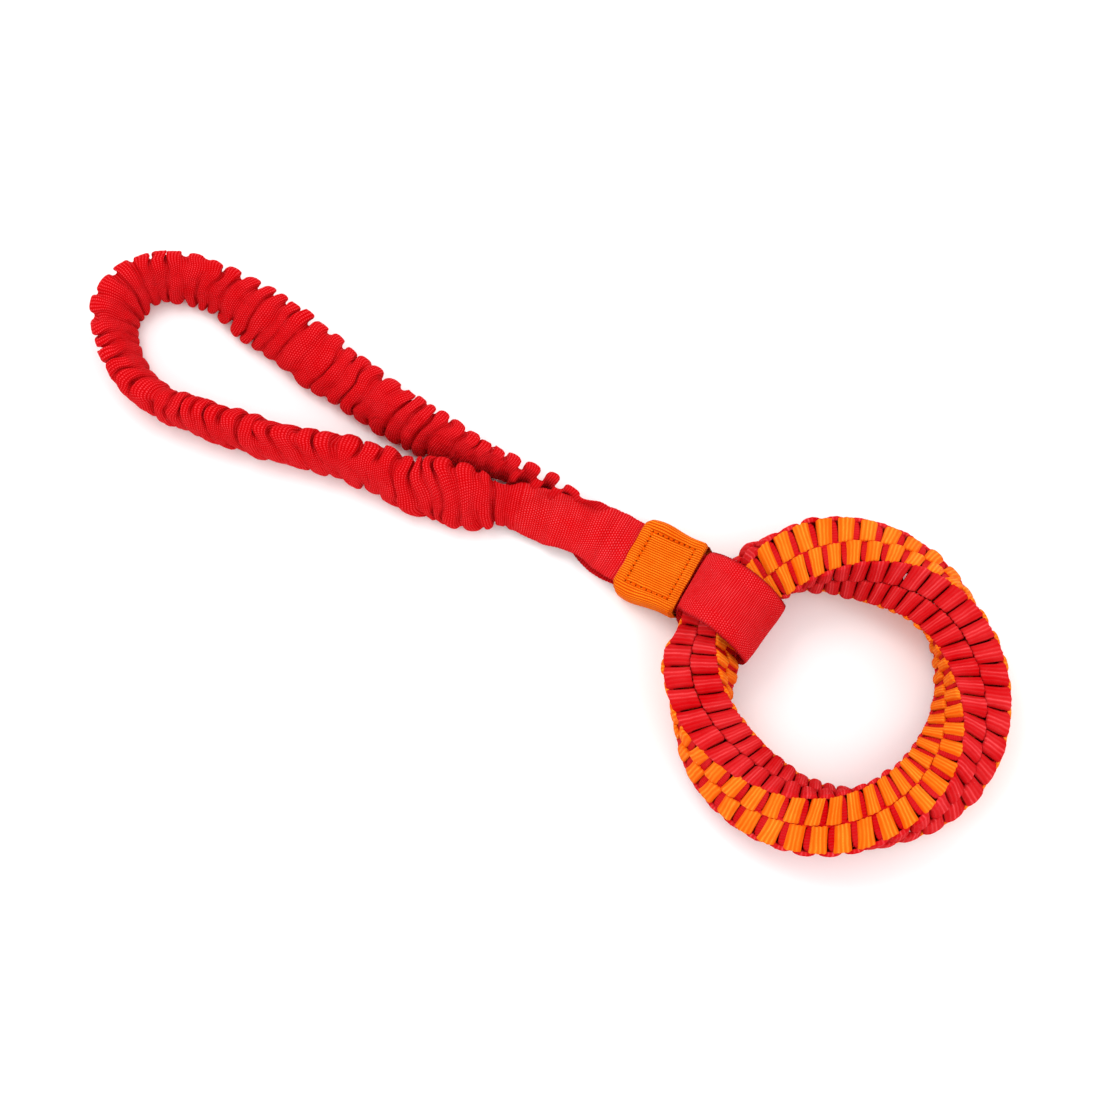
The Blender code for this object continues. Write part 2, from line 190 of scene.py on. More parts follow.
def band_section(half, thick, top_n=9, crown=0.0):
    """Closed section of a webbing: lateral, normal, weave U, for its top, edge, underside and edge."""
    lat, nor, u = [], [], []
    for k in range(top_n):
        t = -1 + 2 * k / (top_n - 1)
        lat.append(t * (half - thick * 0.3))
        nor.append(thick / 2 + crown * (1 - t * t))
        u.append(t * half)
    lat += [half - 0.06 * thick, half, half - 0.06 * thick]
    nor += [thick * 0.3, 0.0, -thick * 0.3]
    u += [half + thick * 0.3, half + thick * 0.5, half + thick * 0.7]
    for k in range(top_n):
        t = 1 - 2 * k / (top_n - 1)
        lat.append(t * (half - thick * 0.3))
        nor.append(-thick / 2 + crown * (1 - t * t))
        u.append(2 * half + thick - t * half)
    lat += [-(half - 0.06 * thick), -half, -(half - 0.06 * thick)]
    nor += [-thick * 0.3, 0.0, thick * 0.3]
    u += [3 * half + thick * 1.3, 3 * half + thick * 1.5, 3 * half + thick * 1.7]
    u.append(3 * half + 2 * thick)
    return np.array(lat), np.array(nor), np.array(u)


# --------------------------------------------------------------------- materials
def nodes_of(m):
    m.use_nodes = True
    nt = m.node_tree
    return nt, nt.nodes, nt.links


class Wire:
    """Short way to write a chain of math nodes."""

    def __init__(self, nt):
        self.nt = nt

    def _in(self, sock, v):
        if isinstance(v, (int, float)):
            sock.default_value = v
        else:
            self.nt.links.new(v, sock)

    def m(self, op, a, b=None, c=None, clamp=False):
        n = self.nt.nodes.new("ShaderNodeMath")
        n.operation = op
        n.use_clamp = clamp
        self._in(n.inputs[0], a)
        if b is not None:
            self._in(n.inputs[1], b)
        if c is not None:
            self._in(n.inputs[2], c)
        return n.outputs[0]

    def cos01(self, x):
        """0.5 + 0.5 cos(2 pi x)"""
        return self.m("MULTIPLY_ADD", self.m("COSINE", self.m("MULTIPLY", x, 2 * math.pi)), 0.5, 0.5)

    def rangemap(self, x, a, b, c, d):
        n = self.nt.nodes.new("ShaderNodeMapRange")
        n.clamp = True
        self._in(n.inputs["Value"], x)
        for k, v in (("From Min", a), ("From Max", b), ("To Min", c), ("To Max", d)):
            n.inputs[k].default_value = v
        return n.outputs["Result"]

    def noise(self, scale, detail=2.0, rough=0.5, vec=None):
        n = self.nt.nodes.new("ShaderNodeTexNoise")
        n.inputs["Scale"].default_value = scale
        n.inputs["Detail"].default_value = detail
        n.inputs["Roughness"].default_value = rough
        if vec is None:
            vec = self.nt.nodes.new("ShaderNodeTexCoord").outputs["Object"]
        self.nt.links.new(vec, n.inputs["Vector"])
        return n.outputs["Fac"]

    def mix(self, fac, a, b, mode="MIX"):
        n = self.nt.nodes.new("ShaderNodeMix")
        n.data_type = "RGBA"
        n.blend_type = mode
        self._in(n.inputs["Factor"], fac)
        for sock, v in ((n.inputs[6], a), (n.inputs[7], b)):
            if isinstance(v, tuple):
                sock.default_value = (*v, 1.0)
            else:
                self.nt.links.new(v, sock)
        return n.outputs[2]


def webbing(name, dark, base, light, rib, dot, style, bump=0.35, sheen=0.12, rough=0.72):
    """Woven webbing: ribs across it every `rib` mm, yarn floats every `dot` mm along each rib; `light` is a painted
    highlight colour for the floats' glints, `dark` a painted shade colour for the pits between them.
    """
    m = bpy.data.materials.new(name)
    nt, nodes, links = nodes_of(m)
    bsdf = nodes["Principled BSDF"]
    w = Wire(nt)
    at = nodes.new("ShaderNodeAttribute")
    at.attribute_name = "weave"
    sep = nodes.new("ShaderNodeSeparateXYZ")
    links.new(at.outputs["Vector"], sep.inputs[0])
    u, v, z = sep.outputs[0], sep.outputs[1], sep.outputs[2]
    # yarns are never quite even
    u1 = w.m("MULTIPLY_ADD", w.noise(420.0, 2.0, 0.55), 0.5, u)
    v1 = w.m("MULTIPLY_ADD", w.noise(300.0, 1.0, 0.5), 0.40, v)
    ru = w.m("DIVIDE", u1, dot)
    rv = w.m("DIVIDE", v1, rib)
    fibre = w.noise(2600.0, 3.0, 0.6)
    patch = w.noise(160.0, 2.0, 0.6)
    if style == "rib":
        # each rib is a chain of small floats; the ribs on a fold's crown catch the light
        ribs = w.cos01(rv)
        line = w.m("POWER", ribs, 5.0)
        dots = w.cos01(ru)
        chain = w.m("MULTIPLY", line, w.m("MULTIPLY_ADD", dots, 0.65, 0.35))
        height = w.m("MULTIPLY_ADD", chain, 0.65, 0.25)
        # painted highlight mask on each chain of floats, strongest where z marks a fold's crown
        glint = w.m("MULTIPLY", chain, w.m("MULTIPLY_ADD", z, 1.05, 0.10))
        pit = w.m("MULTIPLY", w.m("POWER", w.m("SUBTRACT", 1.0, ribs), 3.0), 0.5)
    else:
        row = w.m("ROUND", rv)
        ribs = w.cos01(rv)
        dots = w.cos01(w.m("MULTIPLY_ADD", row, 0.5, ru))
        if style == "plain":
            height = w.m("MULTIPLY", w.m("POWER", ribs, 0.7), w.m("MULTIPLY_ADD", w.m("POWER", dots, 0.8), 0.70, 0.30))
            glint = w.m("MULTIPLY", w.m("POWER", ribs, 1.9), w.m("POWER", dots, 2.6))
            pit = w.m("SUBTRACT", 1.0, w.m("MULTIPLY", w.m("POWER", ribs, 0.8), w.m("MULTIPLY_ADD", dots, 0.75, 0.25)))
        else:
            height = w.m("MULTIPLY", w.m("POWER", ribs, 0.6), w.m("MULTIPLY_ADD", dots, 0.30, 0.70))
            glint = w.m("MULTIPLY", w.m("POWER", ribs, 2.0), w.m("MULTIPLY_ADD", dots, 0.5, 0.3))
            pit = w.m("POWER", w.m("SUBTRACT", 1.0, ribs), 1.5)
    tall = w.m("MULTIPLY_ADD", fibre, 0.20, height)
    mid = tuple(0.75 * a + 0.25 * b for a, b in zip(base, light))
    deep = tuple(0.6 * a + 0.4 * b for a, b in zip(base, dark))
    # body colour: random tone, plus a painted highlight towards mid where z marks a braid fold's crown
    shade = w.m("MULTIPLY_ADD", w.noise(55.0, 3.0, 0.6), 0.7, w.m("MULTIPLY", z, 0.3))
    body = w.mix(w.rangemap(shade, 0.2, 0.75, 0.0, 1.0), deep, mid)
    # painted shade: the dark colour laid into the pits between ribs and floats
    col = w.mix(w.m("MULTIPLY", pit, 0.85, clamp=True), body, dark)
    # painted highlight: the light colour laid on the glints, stronger in random patches
    patchy_glint = w.m("MULTIPLY", glint, w.rangemap(patch, 0.3, 0.65, 0.45, 1.0), clamp=True)
    col = w.mix(patchy_glint, col, light)
    links.new(col, bsdf.inputs["Base Color"])
    links.new(w.rangemap(tall, 0.1, 1.0, min(1.0, rough + 0.16), rough - 0.08), bsdf.inputs["Roughness"])
    bsdf.inputs["Sheen Weight"].default_value = sheen
    bsdf.inputs["Sheen Roughness"].default_value = 0.5
    bsdf.inputs["Sheen Tint"].default_value = (*(0.8 * a + 0.2 * b for a, b in zip(base, light)), 1.0)
    bsdf.inputs["Specular IOR Level"].default_value = 0.04
    bsdf.inputs["Specular Tint"].default_value = (*(0.10 + 0.90 * c for c in light), 1.0)
    b = nodes.new("ShaderNodeBump")
    b.inputs["Strength"].default_value = 1.0
    b.inputs["Distance"].default_value = bump * MM
    links.new(tall, b.inputs["Height"])
    links.new(b.outputs["Normal"], bsdf.inputs["Normal"])
    return m


# each webbing has a dark colour, painted shade for the pits between ribs, a base colour, and a light colour, painted
# highlight for the glints
RED_D, RED, RED_L = (0.50, 0.0001, 0.0008), (0.75, 0.0003, 0.003), (1.0, 0.070, 0.090)
ORA_D, ORA, ORA_L = (0.66, 0.045, 0.0001), (0.93, 0.130, 0.0003), (1.0, 0.43, 0.045)
# one webbing for the whole hand loop strap in two copies: a darker one, painted shade, for the gathered sleeve and the
# back lead under the front lead, and a lighter one, painted light, for the flat front lead
mat_loop_shaded = webbing("red_tubular_webbing", RED_D, RED, RED_L, 1.10, 0.92, "plain", bump=0.28, sheen=0.05)
mat_loop_lit = webbing("red_loop_webbing_lit", (0.56, 0.0001, 0.001), (0.86, 0.0005, 0.005), (1.0, 0.130, 0.150), 1.08, 0.95, "plain", bump=0.34, sheen=0.05)
mat_strap = webbing("red_strap_webbing", (0.54, 0.0001, 0.001), (0.82, 0.0005, 0.005), (1.0, 0.115, 0.135), 1.06, 1.30, "plain", bump=0.34, sheen=0.05)
mat_bred = webbing("red_braid_webbing", (0.44, 0.0001, 0.0010), (0.64, 0.0003, 0.003), (1.0, 0.125, 0.135), 1.25, 0.62, "rib", bump=0.34, sheen=0.03)
mat_bora = webbing("orange_braid_webbing", ORA_D, ORA, ORA_L, 1.25, 0.62, "rib", bump=0.34, sheen=0.06)
mat_keeper = webbing("orange_keeper_webbing", (0.56, 0.030, 0.0001), (0.92, 0.138, 0.0002), (1.0, 0.36, 0.022), 1.02, 1.1, "dense", bump=0.30, sheen=0.08)



def thread_material(name, base, dark):
    m = bpy.data.materials.new(name)
    nt, nodes, links = nodes_of(m)
    bsdf = nodes["Principled BSDF"]
    w = Wire(nt)
    n = w.noise(3000.0, 3.0, 0.6)
    links.new(w.mix(w.rangemap(n, 0.35, 0.65, 0.0, 1.0), dark, base), bsdf.inputs["Base Color"])
    bsdf.inputs["Roughness"].default_value = 0.55
    bsdf.inputs["Sheen Weight"].default_value = 0.03
    bsdf.inputs["Sheen Tint"].default_value = (*base, 1.0)
    bsdf.inputs["Specular IOR Level"].default_value = 0.05
    bsdf.inputs["Specular Tint"].default_value = (*base, 1.0)
    b = nodes.new("ShaderNodeBump")
    b.inputs["Distance"].default_value = 0.12 * MM
    links.new(n, b.inputs["Height"])
    links.new(b.outputs["Normal"], bsdf.inputs["Normal"])
    return m


mat_thread = thread_material("orange_thread", (0.88, 0.112, 0.0004), (0.76, 0.080, 0.0003))
# needle holes: dark pads of painted shade standing for the shade inside each hole
mat_hole_shade = thread_material("needle_hole_shade", (0.30, 0.022, 0.0004), (0.20, 0.012, 0.0002))
mat_elastic = thread_material("elastic_cover", (0.80, 0.76, 0.68), (0.62, 0.58, 0.5))


# -------------------------------------------------------------------------- ring
def ring_place(x, y, s, wild=1.0):
    """From braid space (across, up, along the bar) to the closed, twisted ring; arrays."""
    phi = s / RING_R
    off = np.abs((phi - SLING_AZ + math.pi) % (2 * math.pi) - math.pi) * RING_R
    k = WAIST + (1 - WAIST) * smoothstep(WAIST_FLAT, WAIST_END, off)
    loose = smoothstep(10.0, 34.0, off) * wild
    turn = FACE_AT_SLING + (phi - SLING_AZ) + loose * 0.05 * np.sin(3 * phi + 0.6)
    c, sn = np.cos(turn), np.sin(turn)
    out = k * (x * c - y * sn)
    up = k * (x * sn + y * c)
    R = RING_R + loose * (0.45 * np.sin(2 * phi + 1.1) + 0.3 * np.sin(5 * phi + 2.0))
    P = np.stack([(R + out) * np.cos(phi), (R + out) * np.sin(phi), up], -1)
    tilt = -math.asin((SLING_Z - FAR_Z) / 2 / RING_R)
    axis = Vector((-math.sin(SLING_AZ), math.cos(SLING_AZ), 0))
    M = np.array(Matrix.Rotation(tilt, 3, axis))
    P = P @ M.T
    P[..., 2] += (SLING_Z + FAR_Z) / 2
    return P


def braid_strand(name, across_x, upper, mat, seed, side_out, t_fold, swell, fill, root):
    """One working end of the square braid.

    It crosses the bar once a layer, above its neighbour in one half and below
    it in the other, so that each fold holds one edge of the other colour, and
    the next edge of that colour shows in the gap between two folds.
    """
    over = 1 if upper == across_x else -1  # which half it crosses on top in
    start = -1 if upper else 1
    t_in = 1.9
    d_in, d_out = 1.03, 0.42
    xf = 10.5
    fold_n = 13
    px, ps, kind, layer, thick = [], [], [], [], []

    def off(p):
        a = abs(p)
        d = d_in * smoothstep(0.0, 1.7, a) - (d_in - d_out) * smoothstep(5.0, xf, a)
        return over * math.copysign(1, p) * float(d)

    for n in range(LAYERS):
        g = start if n % 2 == 0 else -start
        s = n * PITCH
        for a in (9.2, 7.0, 4.5, 2.2, 0.9, -0.9, -2.2, -4.5, -7.0, -9.2):
            px.append(g * a)
            ps.append(s + off(g * a))
            kind.append(0.0)
            layer.append(n)
            thick.append(t_in + (t_fold - t_in) * float(smoothstep(4.0, xf, abs(a))))
        o = off(-g * xf)
        mid, half = s + o + PITCH / 2, PITCH / 2
        j = rnd(n, seed) * 0.20
        puff = 0.32 + 0.20 * rnd(n, seed + 1)
        lean = rnd(n, seed + 7) * 0.60
        for k in range(fold_n):
            t = k / (fold_n - 1)
            a = math.pi * t
            up = math.sin(a) ** (0.55 if root else 0.45) if 0 < t < 1 else 0.0
            x = xf + (0.85 + puff) * up + (0.42 if root else 0.22) * math.sin(a) ** 3 + lean * 0.35 * math.cos(a) * up
            y = mid + j * up - (half + swell * max(up, root)) * math.copysign(abs(math.cos(a)) ** (0.80 if root else 0.70), math.cos(a))
            px.append(-g * x)
            ps.append(y)
            kind.append(float(up))
            layer.append(n)
            thick.append(t_fold)
    px, ps, kind, layer, thick = map(np.array, (px, ps, kind, layer, thick))
    length = LAYERS * PITCH
    n = len(px)
    nx, ns = np.roll(px, -1), np.roll(ps, -1)
    ns[-1] += length
    bx, bs = np.roll(px, 1), np.roll(ps, 1)
    bs[0] -= length
    T = np.stack([nx - bx, ns - bs], 1)
    T /= np.linalg.norm(T, axis=1)[:, None]
    N = np.stack([-T[:, 1], T[:, 0]], 1)
    seg = np.hypot(nx - px, ns - ps)
    V1 = np.concatenate([[0], np.cumsum(seg)[:-1]])
    lat, nor, u = band_section(1.0, 0.18, top_n=10)
    nor = nor / 0.18
    t = lat / lat.max()
    # lateral range of the ribbon: it spreads where it folds
    early = np.minimum(1.0, kind * 2.2)
    lo_l = 0.55 - 0.45 * early
    hi_l = side_out + (11.75 - side_out) * early + 0.12 * rnd(layer, seed + 8) * kind
    mid, half = (lo_l + hi_l) / 2, (hi_l - lo_l) / 2
    L = mid[:, None] + half[:, None] * t[None, :]
    # woven selvage: a small loop at each rib
    edge = smoothstep(0.86, 1.0, np.abs(t))[None, :] * np.sign(t)[None, :]
    L = L + edge * 0.20 * np.cos(2 * math.pi * V1 / RIB)[:, None] * (0.3 + 0.7 * kind[:, None])
    # the fold's two sides bow apart towards the selvages
    fold_mid = (layer + 0.5) * PITCH
    side = np.clip((ps - fold_mid) / (PITCH / 2 + 0.6), -1, 1) * kind
    bow = (np.abs(t) ** 2.4)[None, :] * side[:, None] * (0.34 + 0.22 * rnd(layer, seed + 9))[:, None]
    skew = t[None, :] * (rnd(layer, seed + 2) * 0.62)[:, None] * kind[:, None]
    tip = t[None, :] * (rnd(layer, seed + 3) * 0.45)[:, None] * kind[:, None]
    puffy = (1 - t**2)[None, :] * kind[:, None] * 0.16 + tip
    # inside the bar the selvage swells to fill the gap that the other colour leaves
    rim = fill * smoothstep(0.45, 0.95, t)[None, :] * (1 - early)[:, None]
    away = np.array([math.copysign(1, v) for v in px]) * over
    O = nor[None, :] * (thick[:, None] + 0.55 * rim)
    XX = px[:, None] + N[:, 0][:, None] * O + np.sign(px)[:, None] * puffy
    SS = ps[:, None] + N[:, 1][:, None] * O + bow + skew + away[:, None] * 0.5 * rim
    bumpy = noise(np.stack([XX * 0.35, L * 0.35, SS * 0.35], -1), seed) * 0.12
    XX = XX + bumpy * np.sign(px)[:, None] * kind[:, None]
    if upper != across_x:
        L = -L
    G = ring_place(XX, L, SS) if across_x else ring_place(L, XX, SS)
    U = np.tile(u * 5.5, (n, 1))
    V = np.tile(V1[:, None], (1, len(u)))
    # crown: painted highlight mask on each fold's crown, passed to the material as z, where it brightens the glints
    # and the body
    crown = kind * np.exp(-(((ps - fold_mid + 0.9 * rnd(layer, seed + 5)) / (1.0 if root else 2.2)) ** 2))
    Z = np.tile((crown * (0.8 + 0.2 * rnd(layer, seed + 6)))[:, None], (1, len(u)))
    return grid_mesh(name, G, U, V, mat, Z=Z, loop_rows=True)


RIB = 1.9  # from one rib of the braid webbing to the next
braids = []
for name, ax, upper, mat, seed, slot, side_out, t_fold, swell, fill, root in (
    ("orange_strand_a", True, True, mat_bora, 11, "orange_braid_webbing", 8.3, 1.6, 0.26, 0.0, 0.0),
    ("orange_strand_b", True, False, mat_bora, 23, "orange_braid_webbing", 8.3, 1.6, 0.26, 0.0, 0.0),
    ("red_strand_a", False, True, mat_bred, 37, "red_braid_webbing", 11.45, 2.0, 0.80, 2.1, 1.0),
    ("red_strand_b", False, False, mat_bred, 51, "red_braid_webbing", 11.45, 2.0, 0.80, 2.1, 1.0),
):
    ob = braid_strand(name, ax, upper, mat, seed, side_out, t_fold, swell, fill, root)
    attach(ob, "ring")
    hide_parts({"orange_strand_a": "braid_orange_a", "orange_strand_b": "braid_orange_b", "red_strand_a": "braid_red_a", "red_strand_b": "braid_red_b"}[name])
    braids.append(ob)


# ------------------------------------------------------------------ keeper, sling
def keeper_place(p):
    c, s = math.cos(KEEPER_TILT), math.sin(KEEPER_TILT)
    p = np.asarray(p, float)
    return np.stack([KEEPER_C[0] + p[..., 0] * c - p[..., 2] * s, KEEPER_C[1] + p[..., 1], KEEPER_C[2] + p[..., 0] * s + p[..., 2] * c], -1)


def rounded_path(w, h, r, step):
    """Even points round a rounded rectangle in y and z, with outward normals."""
    pts, nor = [], []
    n = 8
    for quarter in range(4):
        cy = (w / 2 - r) * (1 if quarter in (0, 3) else -1)
        cz = (h / 2 - r) * (1 if quarter in (0, 1) else -1)
        for k in range(n + 1):
            a = math.pi / 2 * (quarter + k / n)
            pts.append((cy + r * math.cos(a), cz + r * math.sin(a)))
            nor.append((math.cos(a), math.sin(a)))
    P = np.array(pts + pts[:1])
    Nn = np.array(nor + nor[:1])
    s = np.concatenate([[0], np.cumsum(np.linalg.norm(np.diff(P, axis=0), axis=1))])
    m = round(s[-1] / step)
    even = np.linspace(0, s[-1], m, endpoint=False)
    out = np.stack([np.interp(even, s, P[:, k]) for k in (0, 1)] + [np.interp(even, s, Nn[:, k]) for k in (0, 1)], 1)
    out[:, 2:] /= np.linalg.norm(out[:, 2:], axis=1)[:, None]
    return out, even, s[-1]


def keeper():
    path, even, total = rounded_path(KEEPER_W, KEEPER_H, KEEPER_R, 0.4)
    m = len(path)
    xs = np.linspace(-KEEPER_L / 2, KEEPER_L / 2, 92)
    rows, Us, Vs = [], [], []
    y, z = path[:, 0], path[:, 1]
    face = smoothstep(0.3, 0.9, np.abs(path[:, 3]))
    flank = 1 - face
    # outside from one rim to the other, then back along the inside
    for x in xs:
        dx, dy = abs(x) - BOX_L / 2, np.abs(y) - BOX_W / 2
        line = np.abs(np.hypot(np.maximum(dx, 0), np.maximum(dy, 0)) + np.minimum(np.maximum(dx, dy), 0))
        inside = 1 - smoothstep(-0.4, 1.2, np.maximum(dx, dy))
        pull = 0.50 * np.exp(-((line / 0.95) ** 2)) + 0.30 * inside
        # the margin outside the stitching stands up like a pad
        pad = 0.42 * np.exp(-(((np.maximum(dx, dy) - 2.2) / 1.9) ** 2))
        lip = 0.45 * math.exp(-(((KEEPER_L / 2 - abs(x)) / 0.9) ** 2)) * (1.0 if x > 0 else 0.4)
        wave = 0.26 * noise(np.stack([np.full(m, x * 0.16), y * 0.16, np.sign(z) * 2.0], -1), 5)
        off = (lip + pad - pull) * face + wave * face + 0.05
        # sides bulge towards the hand loop and pull in at both rims
        side = 1.15 * math.exp(-(((x + 7.0) / 7.0) ** 2)) - 1.25 * float(smoothstep(13.6, 15.1, abs(x))) - 0.35 * math.exp(-(((x - 7.0) / 5.0) ** 2))
        ribs = 0 * even
        edge = math.copysign(1, x) * 0.40 * noise(np.stack([y * 0.20, z * 0.3], -1), 9) * float(smoothstep(9, 15.1, abs(x)))
        round_off = -math.copysign(1, x) * 1.1 * smoothstep(14.5, 17.5, np.abs(y)) * float(smoothstep(9, 15.1, abs(x)))
        rows.append(np.stack([x + edge + round_off, y + path[:, 2] * (off + ribs * face + side * flank) + np.sign(y) * side * face * smoothstep(10.0, 16.0, np.abs(y)) * 0.8, z + path[:, 3] * (off + ribs)], -1))
        Us.append(np.full(m + 1, x))
        Vs.append(np.append(even, total))
    for x in xs[::-1][::5]:
        rows.append(np.stack([np.full(m, x * 0.985), y - path[:, 2] * (KEEPER_T - 0.1), z - path[:, 3] * (KEEPER_T - 0.1)], -1))
        Us.append(np.full(m + 1, KEEPER_L - x + 1))
        Vs.append(np.append(even, total))
    return grid_mesh("keeper_webbing", keeper_place(np.array(rows)), np.array(Us), np.array(Vs), mat_keeper, ends=False, loop_rows=False)


kw = keeper()
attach(kw, "junction")
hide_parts("keeper_wrap")


def beads(name, items, mat, top):
    """Small pads of thread, or dark pads of painted shade for needle holes, on a keeper face; items are (centre,
    direction, half length, radius, rise).
    """
    V, F = [], []
    up = 1 if top else -1
    nr, na = 7, 8
    for c, d, half, rad, z0, dip in items:
        e = np.array([-d[1], d[0]])
        base = len(V)
        for i in range(nr):
            t = -1 + 2 * i / (nr - 1)
            r = rad * math.sqrt(max(0.0, 1 - t**4)) + 0.02
            for k in range(na):
                ang = 2 * math.pi * k / na
                p = c + d * t * half + e * r * math.cos(ang)
                V.append((p[0], p[1], (z0 + r * math.sin(ang) * 0.8 - dip * abs(t) ** 3) * up))
        for i in range(nr - 1):
            for k in range(na):
                quad = (base + i * na + k, base + i * na + (k + 1) % na, base + (i + 1) * na + (k + 1) % na, base + (i + 1) * na + k)
                F.append(quad if top else quad[::-1])
        first = tuple(base + k for k in range(na))
        last = tuple(base + (nr - 1) * na + k for k in range(na))
        F.append(first[::-1] if top else first)
        F.append(last if top else last[::-1])
    P = (keeper_place(np.array(V)) + SHIFT) * MM
    mesh = bpy.data.meshes.new(name)
    mesh.from_pydata(P.tolist(), [], F)
    mesh.polygons.foreach_set("use_smooth", [True] * len(mesh.polygons))
    mesh.materials.append(mat)
    ob = bpy.data.objects.new(name, mesh)
    bpy.context.scene.collection.objects.link(ob)
    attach(ob, "junction")
    return ob


def stitches(name, top):
    """Box stitching: a sunk pad of thread for each stitch, with a dark pad of painted shade for the needle hole at its
    end.
    """
    thread, holes = [], []
    z0 = KEEPER_H / 2 - 0.52
    idx = 0
    for (x0, y0), (x1, y1) in (((-1, -1), (1, -1)), ((1, -1), (1, 1)), ((1, 1), (-1, 1)), ((-1, 1), (-1, -1))):
        a = np.array([x0 * BOX_L / 2, y0 * BOX_W / 2])
        b = np.array([x1 * BOX_L / 2, y1 * BOX_W / 2])
        n = round(np.linalg.norm(b - a) / 2.45)
        d = (b - a) / np.linalg.norm(b - a)
        e = np.array([-d[1], d[0]])
        for k in range(n):
            w = e * 0.12 * float(rnd(idx, 3))
            c = a + (b - a) * (k + 0.5) / n + w
            thread.append((c, d, 0.92, 0.33, z0 + 0.02, 0.25))
            holes.append((a + (b - a) * k / n + w, d, 0.36, 0.34, z0 + 0.06, 0.0))
            idx += 1
    return beads(name, thread, mat_thread, top), beads(name + "_needle_holes", holes, mat_hole_shade, top)


st = stitches("box_stitching_top", True)
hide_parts("keeper_stitch_top")
sb = stitches("box_stitching_bottom", False)
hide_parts("keeper_stitch_bottom")

SLING_T = 1.5
SLING_ROUND = [
    (181, 17.2), (165, 17.2), (150, 17.4), (135, 17.8), (120, 18.1), (105, 18.5),
    (92, 18.7), (78, 18.6), (62, 18.4), (45, 18.3), (30, 18.5), (16, 19.4),
    (5, 20.2), (-5, 20.2), (-16, 19.4), (-30, 18.5), (-45, 18.2), (-62, 18.3),
    (-78, 18.5), (-90, 18.4), (-105, 18.5), (-120, 18.2), (-135, 17.9), (-149, 17.9),
]
SWING_AT = (RING_R * math.cos(SLING_AZ), RING_R * math.sin(SLING_AZ))


def strap_y(x):
    straight = math.tan(SLING_AZ) * x
    f = smoothstep(0, 1, np.clip((-66.0 - x) / 12.0, 0, 1))
    return straight * (1 - f) + 11.2 * f


def sling():
    lay = (SLING_T + 0.2) / 2
    path = []
    for x in (-13.5, -4.0, 5.0, 12.0, KEEPER_L / 2 + 0.3):
        p = keeper_place((x, 0, lay))
        path.append((p[0], p[2]))
    heading = math.cos(SLING_AZ + math.pi)
    for deg, r in SLING_ROUND:
        a = math.radians(deg)
        path.append((SWING_AT[0] + r * math.cos(a) * heading, SLING_Z + r * math.sin(a)))
    for x in (KEEPER_L / 2 + 0.3, 12.0, 5.0, -4.0, -13.5):
        p = keeper_place((x, 0, -lay))
        path.append((p[0], p[2]))
    P = spline(path, 0.7)
    n = len(P)
    T = np.gradient(P, axis=0)
    T /= np.linalg.norm(T, axis=1)[:, None]
    N = np.stack([-T[:, 1], T[:, 0]], 1)
    s = np.concatenate([[0], np.cumsum(np.linalg.norm(np.diff(P, axis=0), axis=1))])
    half = 15.0 - 0.8 * smoothstep(-66.0, -73.0, P[:, 0])
    lat, nor, u = band_section(1.0, SLING_T, top_n=27)
    t = lat / lat.max()
    edge = smoothstep(0.93, 1.0, np.abs(t)) * np.sign(t)
    E = half[:, None] * t[None, :] + edge[None, :] * 0.10 * np.cos(2 * math.pi * s / 1.42)[:, None]
    wave = 0.28 * noise(np.stack([s[:, None] * 0.09 + 0 * t, 0 * s[:, None] + t * 1.4], -1), 3)
    free = smoothstep(-74.0, -70.0, P[:, 0])
    O = nor[None, :] + wave * free[:, None]
    yaw = math.tan(math.pi - SLING_AZ)
    x = P[:, 0][:, None] + N[:, 0][:, None] * O + E * yaw * free[:, None]
    y = strap_y(P[:, 0])[:, None] + E
    z = P[:, 1][:, None] + N[:, 1][:, None] * O
    G = np.stack([x, y, z], -1)
    U = np.tile(u * 15.0, (n, 1))
    V = np.tile(s[:, None], (1, len(u)))
    return grid_mesh("sling_strap", G, U, V, mat_strap)


sl = sling()
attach(sl, "junction")
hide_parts("sling")

